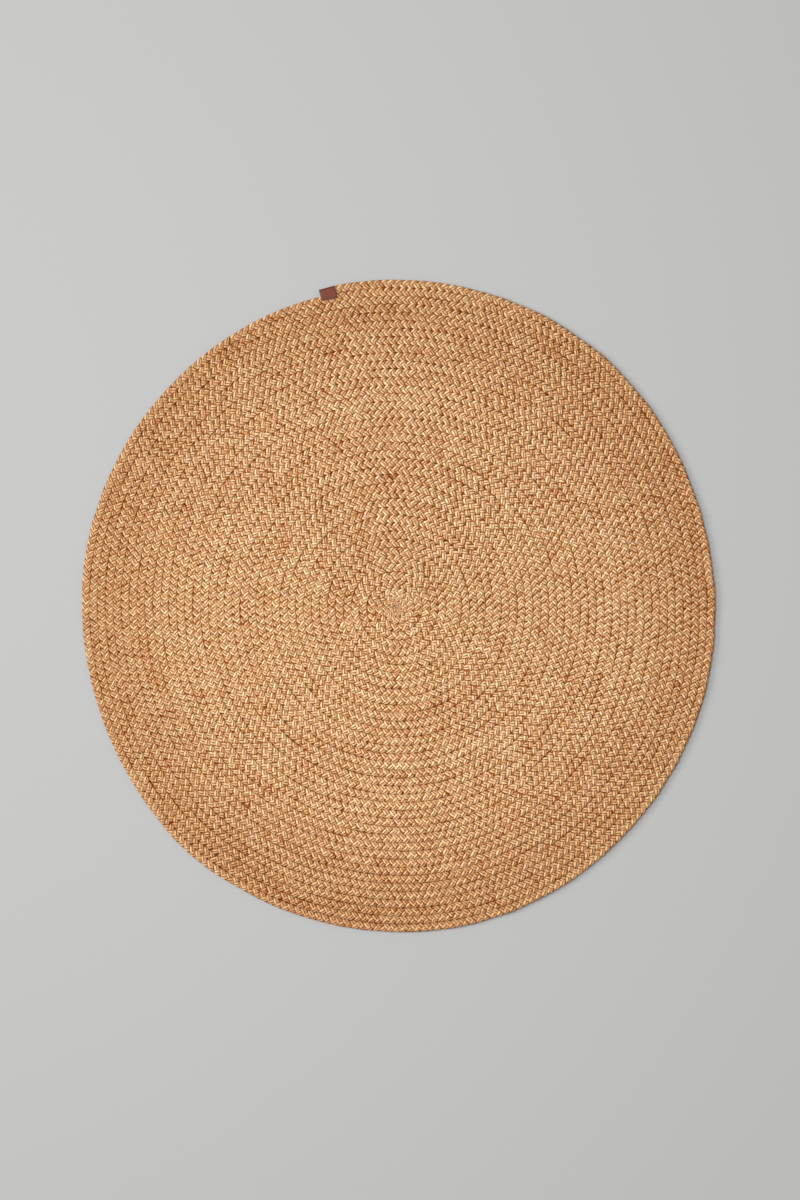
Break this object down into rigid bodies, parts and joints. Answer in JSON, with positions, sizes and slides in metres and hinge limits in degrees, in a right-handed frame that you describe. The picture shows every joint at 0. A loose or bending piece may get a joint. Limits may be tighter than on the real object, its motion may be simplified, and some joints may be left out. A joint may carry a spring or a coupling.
{
  "type": "round braided jute rug",
  "caption": "Round flat rug of braided jute sewn edge to edge in a spiral, with a folded leather tab over the braid's outer end.",
  "frame": {"origin": "middle of the outline's box, on the floor under the rug", "axes": "+Z up from the floor, +Y along the slightly longer axis towards the side with the tab, +X to the right seen from above with +Y up"},
  "size_m": [1.1854, 1.221, 0.0101],
  "materials": {
    "jute": "matte braided plant fibre, straw to tan, uneven from strand to strand",
    "leather": "satin dark red-brown leather, plain"
  },
  "bodies": {
    "root": {"rug": "jute", "tab": "leather"}
  },
  "joints": []
}
